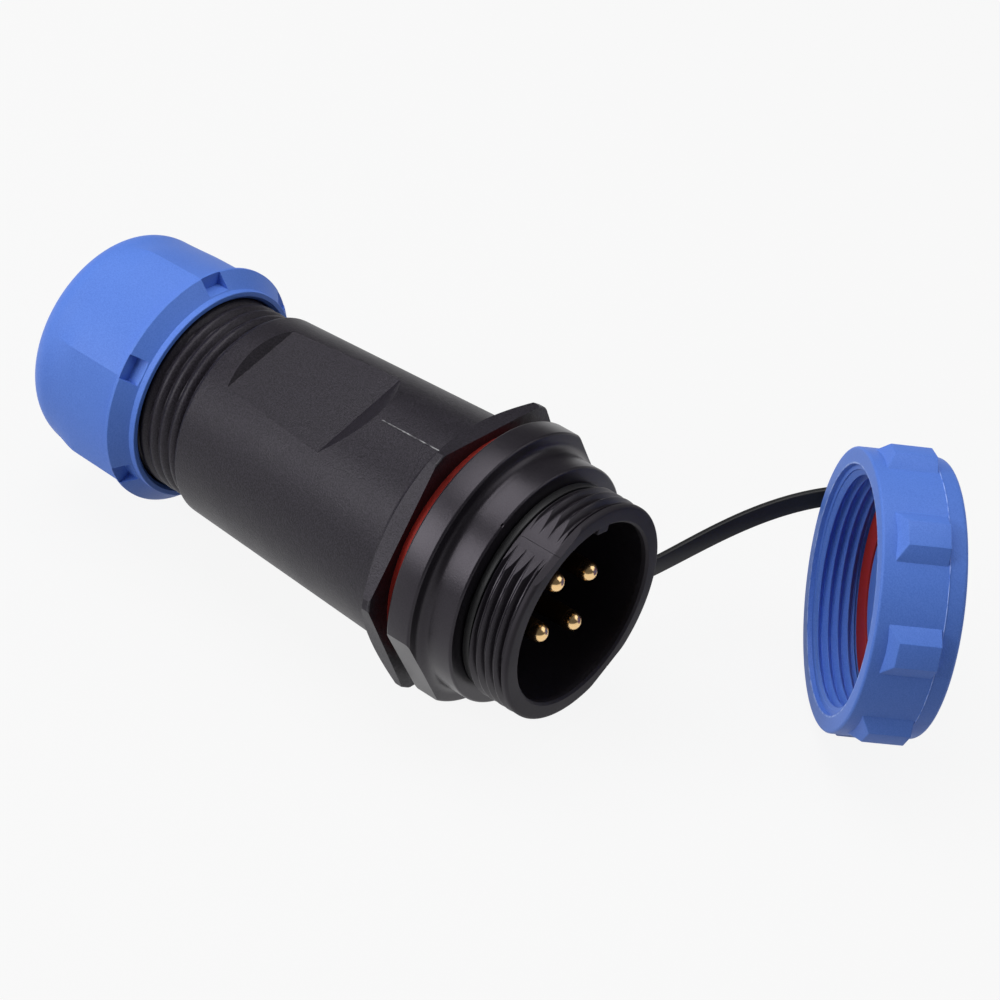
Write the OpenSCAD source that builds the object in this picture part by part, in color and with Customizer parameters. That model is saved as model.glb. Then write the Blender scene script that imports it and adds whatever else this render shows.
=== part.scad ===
// In-line circular connector: a cable-end receptacle with male contacts, a screwed back shell,
// a cable gland and a dust cap on a moulded strap, all lying as they come to rest on their side.
// Origin on the connector's axis at the front end of the coupling thread.
// +X points out of the mouth and +Z points up. Angles about the axis run from -Y towards +Z.

/* [Receptacle] */
// Outside diameter of the coupling thread
coupling_thread_d = 33.6; // [32:0.2:36]
// Length of the coupling thread
coupling_thread_len = 5.2; // [4:0.2:8]
// Diameter of the plain lead-in rim in front of the thread
rim_d = 33.5; // [31.5:0.1:33.5]
// Length of the lead-in rim
rim_len = 1.8; // [1:0.1:3]
// Bore of the mouth
mouth_d = 28.2; // [27:0.1:29]
// Diameter of the smooth neck
neck_d = 37.2; // [36.6:0.1:39]
// Length of the smooth neck
neck_len = 5.3; // [4:0.1:8]
// Fillet between the neck and the flange
neck_fillet = 1.4; // [0.5:0.1:2]
// Diameter of the flange
flange_d = 42.6; // [41:0.1:46]
// Thickness of the flange
flange_t = 4.1; // [3:0.1:6]
// Width across the two flats of the flange
flange_flats_w = 39.2; // [38:0.1:41]
// Width across the two moulding flats on the coupling thread
thread_flats_w = 31.9; // [31.7:0.1:32.4]
// Angle of the moulding flats about the axis, square to the flats of the flange
parting_angle = 60; // [54:1:66]
// Diameter of the tail that screws into the back shell
tail_d = 30; // [29:0.1:30.4]
// Length of the tail behind the flange
tail_len = 13.8; // [13:0.1:16]
// Depth of the strap's groove below the thread
groove_depth = 1.2; // [0.6:0.1:1.4]
// Width of the polarising key in the mouth
key_w = 2.4; // [1.5:0.1:4]
// Height of the polarising key
key_h = 1.2; // [0.6:0.1:2]
// Angle of the polarising key about the axis
key_angle = 99; // [90:1:108]

/* [Contacts] */
// Diameter of a contact pin
pin_d = 3; // [2:0.1:3.6]
// Diameter of the circle on which the pins stand
pin_circle_d = 11.4; // [10:0.1:13]
// Length of the pin in front of the insert
pin_reach = 11.1; // [9:0.1:12]
// Angle of the first pin about the axis
pin_angle = 60; // [55:0.5:70]
// Diameter of the wire barrel behind the insert
barrel_d = 5.2; // [4.8:0.1:6]
// Length of the wire barrel behind the retainer
barrel_len = 11; // [9:0.5:13]
// Bore for the wire
wire_bore_d = 3.2; // [2:0.1:3.4]
// Depth of the wire bore
wire_bore_len = 8; // [6:0.1:9]
// Step from a pin's contact part up to its root in the insert
pin_root_step = 0.3; // [0.2:0.05:0.4]
// Diameter of the collar that holds a pin
pin_collar_d = 6; // [5.6:0.1:6.2]
// Length of that collar
pin_collar_len = 2.5; // [1.5:0.1:3]
// Section diameter of the seal ring on a pin
pin_seal_d = 0.8; // [0.6:0.05:0.9]
// Diameter of the clamp screw in a wire barrel
screw_d = 2.5; // [2:0.1:3]
// Length of the clamp screw
screw_len = 3.2; // [2.6:0.1:4]
// Height of the clamp screw's foot above the middle of the wire bore
screw_lift = 0.8; // [0:0.1:1]
// Thickness of the shoulder that holds the insert
shoulder_t = 2.2; // [1.5:0.1:3]
// Bore of that shoulder
shoulder_bore_d = 23.6; // [22.6:0.1:24]
// Width of the key that stops the insert from turning
insert_key_w = 2; // [1.5:0.1:3]
// Height of that key
insert_key_h = 0.8; // [0.5:0.1:1]
// Section diameter of the seal ring under the insert
insert_seal_d = 1.3; // [1:0.05:1.4]
// Length of the insert behind its front boss
insert_len = 7.5; // [6:0.1:8]
// Thickness of the plate that holds the contacts in the insert
retainer_t = 2.5; // [1.5:0.1:3]
// Thickness of the ring that locks the insert
lock_ring_t = 2.5; // [1.5:0.1:3]
// Bore of the lock ring
lock_ring_bore_d = 21; // [19:0.1:22]
// Wall of the tail round the insert
tail_wall = 1.5; // [1.2:0.1:1.7]

/* [Back shell] */
// Thickness of the red seal between the flange and the hexagon
flange_seal_t = 2.4; // [1.5:0.1:3.5]
// Outside diameter of the red seal
flange_seal_d = 36.8; // [34:0.1:39]
// Width across the flats of the hexagon
hex_af = 39.8; // [38.5:0.1:41]
// Diameter across the rounded corners of the hexagon
hex_corner_d = 45; // [43:0.1:45.5]
// Angle of the hexagon's first corner about the axis
hex_angle = 3; // [0:1:10]
// Thickness of the hexagon at its corners
hex_edge_t = 1.3; // [0.8:0.1:3]
// Length of the cone from the hexagon's corners down to the body
hex_cone_len = 3.8; // [3:0.1:6]
// Length of the shell from the hexagon's front face to the rear shoulder
shell_len = 44.1; // [42:0.1:52]
// Body diameter beside the hexagon
body_front_d = 36.2; // [35:0.1:37]
// Body diameter at the rear shoulder
body_rear_d = 32.7; // [32:0.1:34]
// Radius of the rear shoulder's edge
shoulder_edge_r = 1; // [0.4:0.1:1.6]
// Width across the two spanner flats
spanner_af = 30; // [29:0.1:31]
// Length of a spanner flat
spanner_len = 19.2; // [10:0.1:20]
// Distance from the rear shoulder to a spanner flat
spanner_inset = 5; // [3:0.1:8]
// Slope of the ramp at a spanner flat's front end
spanner_ramp = 34; // [28:1:60]
// Angle of the upper spanner flat about the axis
spanner_angle = 74; // [60:1:90]
// Outside diameter of the rear thread
rear_thread_d = 30.8; // [30:0.1:31.4]
// Length of the rear thread
rear_thread_len = 12; // [10:0.1:14]
// Bore of the wiring space
wiring_bore_d = 26; // [24:0.1:26.6]
// Thickness of the stop lip inside the shell
stop_lip_t = 2; // [1.2:0.1:3]
// Bore of the stop lip
stop_lip_d = 20.8; // [19:0.1:22]
// Depth of the gland's bore in front of the rear shoulder
gland_bore_depth = 5.4; // [5:0.1:8]
// Room behind the tail at the end of the front thread
tail_run_out = 1.6; // [1:0.1:3]

/* [Cable gland] */
// Length of rear thread left bare in front of the nut
bare_thread = 7.4; // [7:0.1:9]
// Travel of the nut as it is tightened
gland_travel = 5; // [1:0.1:5]
// Length of the nut
nut_len = 23.2; // [22.6:0.1:26]
// Depth of the nut's threaded bore
nut_thread_depth = 15.2; // [14.7:0.1:16]
// Width across the middle of two opposite nut faces
nut_face_w = 35.6; // [35.3:0.1:36.4]
// Diameter across the nut's corners
nut_corner_d = 37.8; // [37:0.1:38]
// Diameter of the lip at the front of the nut
lip_d = 33.8; // [33.2:0.1:35]
// Length of the lip
lip_len = 1; // [0.6:0.1:1.4]
// Length of the cone from the lip up to the collar
collar_cone_len = 2.2; // [1.6:0.1:3]
// Diameter of the collar behind the cone
collar_d = 38.4; // [38.2:0.1:41]
// Width of the collar's edge
collar_w = 0.8; // [0.6:0.1:1.5]
// Bevel of the nut's mouth
nut_bevel = 0.5; // [0.3:0.1:0.8]
// Width of a grip notch in the collar's cone
notch_w = 4; // [3:0.1:7]
// Step from the lip up to the floor of a grip notch
notch_step = 0.2; // [0.1:0.1:0.6]
// Angle of the first corner of the nut about the axis
nut_angle = 28; // [20:1:36]
// Angle from a corner of the nut to the notch beside it
notch_lead = 5; // [0:1:12]
// Rounding of the nut's rear edge
nut_round = 4.6; // [3:0.1:5]
// Diameter at which the round end begins
nut_dome_d = 35.2; // [34.4:0.1:35.2]
// Length over which the corners run out before the round end
nut_taper_len = 6; // [4:0.1:8]
// Cable hole in the nut
cable_hole_d = 18.4; // [14:0.1:18.8]
// Length of the cable hole's straight wall
cable_hole_len = 3; // [2:0.1:4]
// Outside diameter of the clamp cage
cage_d = 24.6; // [24:0.1:25.6]
// Bore of the clamp cage
cage_bore_d = 19.4; // [19:0.1:20.4]
// Room in front of the clamp cage when the nut is tight
cage_end_gap = 0.6; // [0.4:0.1:1]
// Step from the cage up to the mouth of the nut's cone
cone_lead = 1.1; // [0.6:0.1:1.4]
// Wall of a finger at its tip
finger_tip_wall = 0.9; // [0.6:0.1:1.4]
// Length of a finger slot in the clamp cage
finger_len = 14; // [8:0.1:18]
// Width of a finger slot
finger_slot_w = 1.6; // [1:0.1:2.4]
// Bore of the rubber cable seal
cable_seal_bore_d = 16; // [12:0.1:17]
// Length of the rubber cable seal
cable_seal_len = 20; // [12:0.1:22]
// Distance from the front of the cage to the cable seal
cable_seal_inset = 1; // [0:0.1:2]

/* [Dust cap] */
// Outside diameter of the cap between its ribs
cap_d = 41; // [39.6:0.1:43]
// Depth of the cap
cap_depth = 12.4; // [11.6:0.1:15]
// Diameter of the cap's back face
cap_back_d = 40.2; // [38:0.1:40.4]
// Length of the bevel towards the back face
cap_bevel_len = 2.8; // [1:0.1:3]
// Diameter of the mouth at the cap's lip
cap_mouth_d = 36; // [35.2:0.1:37]
// Length of the mouth's lead-in
cap_lead_len = 1.2; // [0.5:0.1:2]
// Thickness of the cap's end wall
cap_wall = 3.7; // [2:0.1:4]
// Thickness of the red gasket in the cap
gasket_t = 1.5; // [1:0.1:2]
// Bore of the red gasket
gasket_bore_d = 24.6; // [14:0.1:26]
// Height of a grip rib
rib_h = 1.5; // [0.8:0.1:2]
// Width of a grip rib at its foot
rib_foot_w = 7.4; // [4:0.1:9]
// Width of a grip rib at its top
rib_top_w = 3.6; // [1.5:0.1:4]
// Distance from the mouth to a rib's foot
rib_inset = 2.1; // [1:0.1:4]
// Length of the slope at a rib's front end
rib_slope = 1.2; // [0.4:0.1:2]
// Height of the boss that centres the gasket
gasket_boss_h = 1.3; // [0.3:0.1:1.4]
// Angle of the first rib about the cap's axis
rib_angle = 31.3; // [22.5:0.1:36]
// Place of the cap's mouth centre along X
cap_x = 23.9; // [20:0.1:30]
// Place of the cap's mouth centre along Y
cap_y = 30.9; // [30:0.1:40]
// Turn of the cap's mouth about the vertical
cap_turn = -136.7; // [-145:0.1:-125]
// Lean of the cap's mouth upwards
cap_lean = 3.7; // [0:0.1:6]

/* [Strap] */
// Thickness of the strap's ring and eye
strap_ring_t = 1.2; // [1:0.1:1.6]
// Thickness of the strap's band
band_t = 1; // [0.8:0.1:1.2]
// Width of the strap's band
band_w = 3; // [2:0.1:4]
// Radial width of the strap's ring
strap_ring_w = 2.4; // [1.6:0.1:2.6]
// Radial width of the strap's eye
eye_w = 2.6; // [1.8:0.1:4]
// Diameter of the stud on the cap's back
stud_d = 5.8; // [4:0.1:8]
// Diameter of the stud's head
stud_head_d = 8.6; // [7.6:0.1:11]
// Thickness of the stud's head
stud_head_t = 1; // [0.6:0.1:2]
// Angle at which the band leaves the ring, below level on the far side
band_exit_angle = 25; // [0:1:40]
// Radius of the band's bend round the cap's edge
band_bend_r = 5; // [4:0.1:5.2]
// Sag of the band beside the cap
band_sag = 1.6; // [0:0.1:3]
// Space between the middle of the band and the cap's ribs
band_gap = 2.5; // [1.5:0.1:4]
// Reach of the band's easy curve from the cap
cap_ease = 18.4; // [12:0.1:22]
// Reach of the band's easy curve from the ring
ring_ease = 17.3; // [12:0.1:20]

/* [Fits] */
// Radial clearance of a screwed joint
thread_clear = 0.25; // [0.15:0.05:0.4]
// Radial clearance of a turning or sliding piece
run_clear = 0.3; // [0.2:0.05:0.4]
// Side clearance of a ring in its groove
side_clear = 0.15; // [0.1:0.05:0.3]
// Clearance of a piece that is pressed or screwed home
seat_clear = 0.1; // [0.05:0.01:0.15]

/* [Hidden] */

turn_fn = 96;
pin_fn = 32;
over = 1;
edge = 0.4;
pin_count = 4;
notch_count = 6;
rib_count = 8;
low_rib_index = 5;
hex_sides = 6;
finger_count = 8;

black = "#1d1d1f";
blue = "#4d78d6";
red = "#b3261e";
gold = "#d9a441";
grey = "#3a3a3c";
steel = "#a9adb0";

// Stations along the axis, from the front to the rear
rim_x = rim_len;
thread_rear_x = -coupling_thread_len;
groove_w = strap_ring_t + 2*side_clear;
neck_front_x = thread_rear_x - groove_w;
flange_front_x = neck_front_x - neck_len;
flange_rear_x = flange_front_x - flange_t;
tail_rear_x = flange_rear_x - tail_len;
hex_front_x = flange_rear_x - flange_seal_t;
hex_edge_x = hex_front_x - hex_edge_t;
cone_rear_x = hex_edge_x - hex_cone_len;
shell_rear_x = hex_front_x - shell_len;
rear_thread_x = shell_rear_x - rear_thread_len;
nut_front_x = shell_rear_x - bare_thread;
lip_rear_x = nut_front_x - lip_len;
collar_front_x = lip_rear_x - collar_cone_len;
collar_rear_x = collar_front_x - collar_w;
nut_step_x = nut_front_x - nut_thread_depth;
nut_rear_x = nut_front_x - nut_len;
cable_hole_x = nut_rear_x + cable_hole_len;

// Seats inside the receptacle
groove_r = coupling_thread_d/2 - groove_depth;
insert_bore_r = tail_d/2 - tail_wall;
insert_boss_r = shoulder_bore_d/2 - run_clear;
insert_r = insert_bore_r - run_clear;
insert_proud = 0.3;
insert_face_x = flange_front_x + insert_proud;
shoulder_rear_x = flange_front_x - shoulder_t;
insert_seat_x = shoulder_rear_x - insert_seal_d - seat_clear;
insert_rear_x = insert_seat_x - insert_len;
retainer_rear_x = insert_rear_x - retainer_t;
lock_ring_rear_x = retainer_rear_x - lock_ring_t;
insert_seal_r = (insert_boss_r + insert_bore_r)/2;

// Contacts
pin_r = pin_d/2;
pin_tip_x = insert_face_x + pin_reach;
pin_root_r = pin_r + pin_root_step;
pin_collar_r = pin_collar_d/2;
pin_collar_x = insert_rear_x + pin_collar_len;
pin_seal_room = pin_seal_d + seat_clear;
pin_seal_r = pin_root_r + seat_clear + pin_seal_d/2;
barrel_rear_x = retainer_rear_x - barrel_len;
screw_x = barrel_rear_x + wire_bore_len/2;
screw_foot_r = pin_circle_d/2 + screw_lift;

// Back shell and gland
shell_bore_x = tail_rear_x - tail_run_out;
gland_bore_x = shell_rear_x + gland_bore_depth;
stop_lip_x = gland_bore_x + stop_lip_t;
gland_bore_r = cage_d/2 + run_clear;
nut_bore_r = rear_thread_d/2 + thread_clear;
nut_cone_r = cage_d/2 + cone_lead;
cage_front_x = gland_bore_x - gland_travel - cage_end_gap;
cone_slope = (nut_cone_r - cable_hole_d/2)/(nut_step_x - cable_hole_x);
cage_cone_x = nut_step_x - (nut_cone_r - cage_d/2 - run_clear)/cone_slope;
cage_tip_r = cage_bore_d/2 + finger_tip_wall;
cage_rear_x = cage_cone_x - (cage_d/2 - cage_tip_r)/cone_slope;
cable_seal_r = cage_bore_d/2 - seat_clear;
cable_seal_front_x = cage_front_x - cable_seal_inset;

// Bowed nut face: an arc that passes the middle of a face and two corners
face_r = nut_face_w/2;
corner_r = nut_corner_d/2;
half_face = 180/notch_count;
face_shift = (pow(corner_r, 2) - pow(face_r, 2))/(2*(face_r - corner_r*cos(half_face)));

// Dust cap, in its own frame with the mouth at the origin and +X out of the mouth
cap_r = cap_d/2;
cap_bore_r = coupling_thread_d/2 + run_clear;
gasket_rear_x = cap_wall - cap_depth;
gasket_front_x = gasket_rear_x + gasket_t;
gasket_r = cap_bore_r - seat_clear;
rib_r = cap_r + rib_h;
bevel_x = cap_bevel_len - cap_depth;
rib_rear_x = bevel_x + edge;
stud_len = strap_ring_t + 2*side_clear;
eye_r = stud_d/2 + run_clear;
eye_x = -cap_depth - side_clear - strap_ring_t/2;

// The cap stands on a rib with the flange's lowest point on the same surface
floor_z = -flange_d/2;
low_rib = rib_angle + low_rib_index*360/rib_count;
low_rib_r = rib_r*cos(270 - low_rib) + rib_top_w/2*sin(270 - low_rib);
cap_z = floor_z + low_rib_r*cos(cap_lean) - rib_rear_x*sin(cap_lean);
cap_m = [cos(cap_lean)*cos(cap_turn), cos(cap_lean)*sin(cap_turn), sin(cap_lean)];
cap_s = [-sin(cap_turn), cos(cap_turn), 0];
cap_u = cross(cap_m, cap_s);
function cap_point(p) = [cap_x, cap_y, cap_z] + p.x*cap_m + p.y*cap_s + p.z*cap_u;

// Route of the strap's band: straight from the eye, round the cap's edge, then an easy curve to the ring
ring_bore_r = groove_r + run_clear;
ring_r = ring_bore_r + strap_ring_w;
ring_x = thread_rear_x - groove_w/2;
band_side = rib_r + band_gap;
bend_start = band_side - band_bend_r;
bend_x = eye_x + band_bend_r;
exit_dir = [0, cos(band_exit_angle), -sin(band_exit_angle)];
exit_side = [0, sin(band_exit_angle), cos(band_exit_angle)];
ring_end = [ring_x, 0, 0] + exit_dir*(ring_bore_r + strap_ring_w/2);
bend_end = cap_point([bend_x, -band_side, 0]);
bend_steps = 14;
ease_steps = 28;
cap_lead = bend_end + cap_m*cap_ease - [0, 0, band_sag];
ring_lead = ring_end + exit_dir*ring_ease;
function ease_point(t) = pow(1 - t, 3)*bend_end + 3*pow(1 - t, 2)*t*cap_lead
  + 3*(1 - t)*t*t*ring_lead + pow(t, 3)*ring_end;
function bend_point(a) = cap_point([bend_x - band_bend_r*cos(a), -bend_start - band_bend_r*sin(a), 0]);
route = concat(
  [cap_point([eye_x, -eye_r - eye_w/2, 0])],
  [for (i = [0:bend_steps]) bend_point(90*i/bend_steps)],
  [for (i = [1:ease_steps]) ease_point(i/ease_steps)]);
route_last = len(route) - 1;
bend_last = bend_steps + 1;
function unit(v) = v/norm(v);
function heading(i) = unit(route[min(i + 1, route_last)] - route[max(i - 1, 0)]);
function twist(i) = max(0, (i - bend_last)/ease_steps);
function width_aim(i) = cap_u*(1 - twist(i)) + exit_side*twist(i);
function across(i) = unit(width_aim(i) - heading(i)*(width_aim(i)*heading(i)));

// Solid of revolution about the connector's axis, from a section of radius against station
module turned() {
  rotate([0, 90, 0]) rotate_extrude($fn = turn_fn) children();
}

// Section of a ring between two radii and two stations
module band(inner_r, outer_r, front_x, rear_x) {
  translate([inner_r, rear_x]) square([outer_r - inner_r, front_x - rear_x]);
}

// Turns what lies on the -Y side to an angle about the axis
module at_angle(a) {
  rotate([-a, 0, 0]) children();
}

// Places a piece drawn about the axis on one of the contacts
module at_pin(i) {
  at_angle(pin_angle + i*360/pin_count) translate([0, -pin_circle_d/2, 0]) children();
}

// Places a piece drawn in the cap's frame
module in_cap() {
  translate([cap_x, cap_y, cap_z]) rotate([0, 0, cap_turn]) rotate([0, -cap_lean, 0]) children();
}

// Block that leaves a flat at a distance from the axis, on the -Y side
module flat_cut(distance, front_x, rear_x) {
  reach = flange_d;
  translate([rear_x, -distance - reach, -reach]) cube([front_x - rear_x, reach, 2*reach]);
}

module receptacle_section() {
  flange_r = flange_d/2;
  polygon([
    [0, rim_x], [rim_d/2 - edge, rim_x], [rim_d/2, rim_x - edge], [rim_d/2, 0],
    [coupling_thread_d/2, 0], [coupling_thread_d/2, thread_rear_x], [groove_r, thread_rear_x],
    [groove_r, neck_front_x], [neck_d/2 - edge, neck_front_x], [neck_d/2, neck_front_x - edge],
    [neck_d/2, flange_front_x], [flange_r - edge, flange_front_x], [flange_r, flange_front_x - edge],
    [flange_r, flange_rear_x + edge], [flange_r - edge, flange_rear_x], [tail_d/2, flange_rear_x],
    [tail_d/2, tail_rear_x + edge], [tail_d/2 - edge, tail_rear_x], [0, tail_rear_x]
  ]);
  difference() {
    band(neck_d/2, neck_d/2 + neck_fillet, flange_front_x + neck_fillet, flange_front_x);
    translate([neck_d/2 + neck_fillet, flange_front_x + neck_fillet]) circle(neck_fillet, $fn = pin_fn);
  }
}

module receptacle_shell() {
  color(black) union() {
    difference() {
      turned() difference() {
        receptacle_section();
        band(0, mouth_d/2, rim_x + over, flange_front_x);
        band(0, shoulder_bore_d/2, flange_front_x + over, shoulder_rear_x - over);
        band(0, insert_bore_r, shoulder_rear_x, tail_rear_x - over);
      }
      for (a = [parting_angle, parting_angle + 180]) {
        at_angle(a) flat_cut(thread_flats_w/2, rim_x + over, ring_x);
        at_angle(a - 90) flat_cut(flange_flats_w/2, flange_front_x + over, flange_rear_x - over);
      }
    }
    at_angle(key_angle)
      translate([flange_front_x - edge, -mouth_d/2 - edge, -key_w/2])
        cube([rim_x - edge - flange_front_x, key_h + edge, key_w]);
    at_angle(key_angle)
      translate([shoulder_rear_x, -shoulder_bore_d/2 - edge, -insert_key_w/2])
        cube([shoulder_t - edge, insert_key_h + edge, insert_key_w]);
  }
}

module contact_insert() {
  key_floor_r = shoulder_bore_d/2 - insert_key_h - seat_clear;
  key_room = insert_key_w + 2*seat_clear;
  color(grey) difference() {
    turned() {
      band(0, insert_boss_r, insert_face_x, insert_seat_x - over);
      band(0, insert_r, insert_seat_x, insert_rear_x);
    }
    for (i = [0:pin_count - 1]) {
      at_pin(i) turned() {
        band(0, pin_root_r + seat_clear, insert_face_x + over, insert_rear_x - over);
        band(0, pin_collar_r + seat_clear, pin_collar_x + pin_seal_room, insert_rear_x - over);
      }
    }
    at_angle(key_angle)
      translate([shoulder_rear_x - seat_clear, -shoulder_bore_d/2, -key_room/2])
        cube([shoulder_t + over, shoulder_bore_d/2 - key_floor_r, key_room]);
  }
}

module contact_retainer() {
  color(grey) difference() {
    turned() band(0, insert_r, insert_rear_x, retainer_rear_x);
    for (i = [0:pin_count - 1]) {
      at_pin(i) turned() band(0, barrel_d/2 + seat_clear, insert_rear_x + over, retainer_rear_x - over);
    }
  }
}

module contact_pin(i) {
  color(gold) at_pin(i) difference() {
    union() {
      translate([pin_tip_x - pin_r, 0, 0]) sphere(pin_r, $fn = pin_fn);
      turned() {
        band(0, pin_r, pin_tip_x - pin_r, insert_face_x - over);
        band(0, pin_root_r, insert_face_x, insert_rear_x);
        band(0, pin_collar_r, pin_collar_x, insert_rear_x);
        band(0, barrel_d/2, pin_collar_x - over, barrel_rear_x);
      }
    }
    turned() band(0, wire_bore_d/2, barrel_rear_x + wire_bore_len, barrel_rear_x - over);
    translate([screw_x, 0, 0]) rotate([90, 0, 0])
      cylinder(d = screw_d + 2*seat_clear, h = barrel_d, $fn = pin_fn);
  }
}

module contact_pin_1() { contact_pin(0); }
module contact_pin_2() { contact_pin(1); }
module contact_pin_3() { contact_pin(2); }
module contact_pin_4() { contact_pin(3); }

module contact_seals() {
  color(black) for (i = [0:pin_count - 1]) {
    at_pin(i) turned()
      translate([pin_seal_r, pin_collar_x + pin_seal_room/2]) circle(d = pin_seal_d, $fn = pin_fn);
  }
}

module terminal_screws() {
  slot_w = 0.6;
  slot_depth = 0.7;
  color(steel) for (i = [0:pin_count - 1]) {
    at_angle(pin_angle + i*360/pin_count) translate([screw_x, -screw_foot_r, 0]) difference() {
      rotate([90, 0, 0]) cylinder(d = screw_d, h = screw_len, $fn = pin_fn);
      translate([-screw_d, -screw_len - over, -slot_w/2]) cube([2*screw_d, slot_depth + over, slot_w]);
    }
  }
}

module insert_seal() {
  seal_x = (shoulder_rear_x + insert_seat_x)/2;
  color(black) turned() translate([insert_seal_r, seal_x]) circle(d = insert_seal_d, $fn = pin_fn);
}

module insert_lock_ring() {
  slot_w = 3;
  slot_depth = 1;
  color(grey) difference() {
    turned() band(lock_ring_bore_d/2, insert_bore_r - seat_clear, retainer_rear_x, lock_ring_rear_x);
    translate([lock_ring_rear_x - over, -tail_d, -slot_w/2]) cube([slot_depth + over, 2*tail_d, slot_w]);
  }
}

module flange_seal() {
  color(red) turned() band(tail_d/2 + thread_clear, flange_seal_d/2, flange_rear_x, hex_front_x);
}

module back_shell_section() {
  polygon([
    [0, hex_front_x], [body_front_d/2, hex_front_x], [body_front_d/2, cone_rear_x],
    [body_rear_d/2, shell_rear_x + shoulder_edge_r], [body_rear_d/2 - shoulder_edge_r, shell_rear_x],
    [rear_thread_d/2, shell_rear_x], [rear_thread_d/2, rear_thread_x + edge],
    [rear_thread_d/2 - edge, rear_thread_x], [0, rear_thread_x]
  ]);
  translate([body_rear_d/2 - shoulder_edge_r, shell_rear_x + shoulder_edge_r])
    circle(shoulder_edge_r, $fn = pin_fn);
}

module hex_flange() {
  hex_r = hex_af/2/cos(180/hex_sides);
  intersection() {
    turned() polygon([
      [0, hex_front_x], [hex_corner_d/2 - edge, hex_front_x], [hex_corner_d/2, hex_front_x - edge],
      [hex_corner_d/2, hex_edge_x], [body_front_d/2 - edge, cone_rear_x], [0, cone_rear_x]
    ]);
    translate([cone_rear_x - over, 0, 0]) at_angle(hex_angle) rotate([0, 90, 0]) rotate([0, 0, 90])
      cylinder(r = hex_r, h = hex_front_x - cone_rear_x + 2*over, $fn = hex_sides);
  }
}

// Cut of a spanner flat on the -Y side, with a ramp at its front end
module spanner_cut() {
  floor_y = -spanner_af/2;
  rear_x = shell_rear_x + spanner_inset;
  front_x = rear_x + spanner_len;
  reach = body_front_d - spanner_af;
  translate([0, 0, -body_front_d/2]) linear_extrude(body_front_d)
    polygon([
      [rear_x, floor_y], [front_x, floor_y], [front_x + reach/tan(spanner_ramp), floor_y - reach],
      [rear_x, floor_y - reach]
    ]);
}

module back_shell() {
  color(black) difference() {
    union() {
      turned() back_shell_section();
      hex_flange();
    }
    turned() {
      band(0, tail_d/2 + thread_clear, hex_front_x + over, shell_bore_x);
      band(0, wiring_bore_d/2, shell_bore_x + over, stop_lip_x);
      band(0, stop_lip_d/2, stop_lip_x + over, gland_bore_x - over);
      band(0, gland_bore_r, gland_bore_x, rear_thread_x - over);
    }
    for (a = [spanner_angle, spanner_angle + 180]) {
      at_angle(a) spanner_cut();
    }
  }
}

module clamp_cage() {
  color(grey) difference() {
    turned() difference() {
      polygon([
        [0, cage_front_x], [cage_d/2, cage_front_x], [cage_d/2, cage_cone_x],
        [cage_tip_r, cage_rear_x], [0, cage_rear_x]
      ]);
      band(0, cage_bore_d/2, cage_front_x + over, cage_rear_x - over);
    }
    for (i = [0:finger_count/2 - 1]) {
      at_angle(i*360/finger_count)
        translate([cage_rear_x - over, -cage_d, -finger_slot_w/2])
          cube([finger_len + over, 2*cage_d, finger_slot_w]);
    }
  }
}

module cable_seal() {
  color(black) turned()
    band(cable_seal_bore_d/2, cable_seal_r, cable_seal_front_x, cable_seal_front_x - cable_seal_len);
}

// Section of the nut with bowed faces
module nut_outline() {
  intersection_for (i = [0:notch_count - 1]) {
    rotate(i*360/notch_count) translate([face_shift, 0]) circle(face_r + face_shift, $fn = turn_fn);
  }
}

// The corners run out along a slow taper before the round end
module nut_section() {
  body_r = corner_r + edge;
  front_x = collar_front_x - collar_w/2;
  round_x = nut_rear_x + nut_round;
  middle_r = nut_dome_d/2 - nut_round;
  polygon([
    [0, front_x], [body_r, front_x], [body_r, round_x + nut_taper_len], [nut_dome_d/2, round_x], [0, round_x]
  ]);
  band(0, middle_r, front_x, nut_rear_x);
  translate([middle_r, round_x]) circle(nut_round, $fn = turn_fn);
}

module nut_collar() {
  turned() polygon([
    [0, nut_front_x], [lip_d/2, nut_front_x], [lip_d/2, lip_rear_x], [collar_d/2, collar_front_x],
    [collar_d/2, collar_rear_x], [0, collar_rear_x]
  ]);
}

module gland_nut() {
  mouth_r = nut_bore_r + nut_bevel;
  notch_floor_r = lip_d/2 + notch_step;
  color(blue) difference() {
    union() {
      intersection() {
        turned() nut_section();
        translate([nut_rear_x - over, 0, 0]) at_angle(nut_angle + half_face)
          rotate([0, 90, 0]) rotate([0, 0, 90]) linear_extrude(nut_len + over) nut_outline();
      }
      nut_collar();
    }
    turned() polygon([
      [0, nut_front_x + over], [mouth_r + over, nut_front_x + over],
      [nut_bore_r, nut_front_x - nut_bevel], [nut_bore_r, nut_step_x], [nut_cone_r, nut_step_x],
      [cable_hole_d/2, cable_hole_x], [cable_hole_d/2, nut_rear_x - over], [0, nut_rear_x - over]
    ]);
    for (i = [0:notch_count - 1]) {
      at_angle(nut_angle + notch_lead + i*360/notch_count)
        translate([collar_front_x - notch_step, -collar_d, -notch_w/2])
          cube([collar_cone_len + notch_step + over, collar_d - notch_floor_r, notch_w]);
    }
  }
}

// Band of the strap, swept as a flat section along its route
module strap_band() {
  function corners(i) = let (w = across(i)*band_w/2, n = cross(heading(i), across(i))*band_t/2)
    [route[i] + w + n, route[i] - w + n, route[i] - w - n, route[i] + w - n];
  sides = [for (i = [0:route_last - 1], j = [0:3])
    [4*i + j, 4*(i + 1) + j, 4*(i + 1) + (j + 1)%4, 4*i + (j + 1)%4]];
  polyhedron(
    points = [for (i = [0:route_last]) each corners(i)],
    faces = concat(sides, [[0, 1, 2, 3]], [[for (j = [3:-1:0]) 4*route_last + j]]),
    convexity = 8);
}

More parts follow.
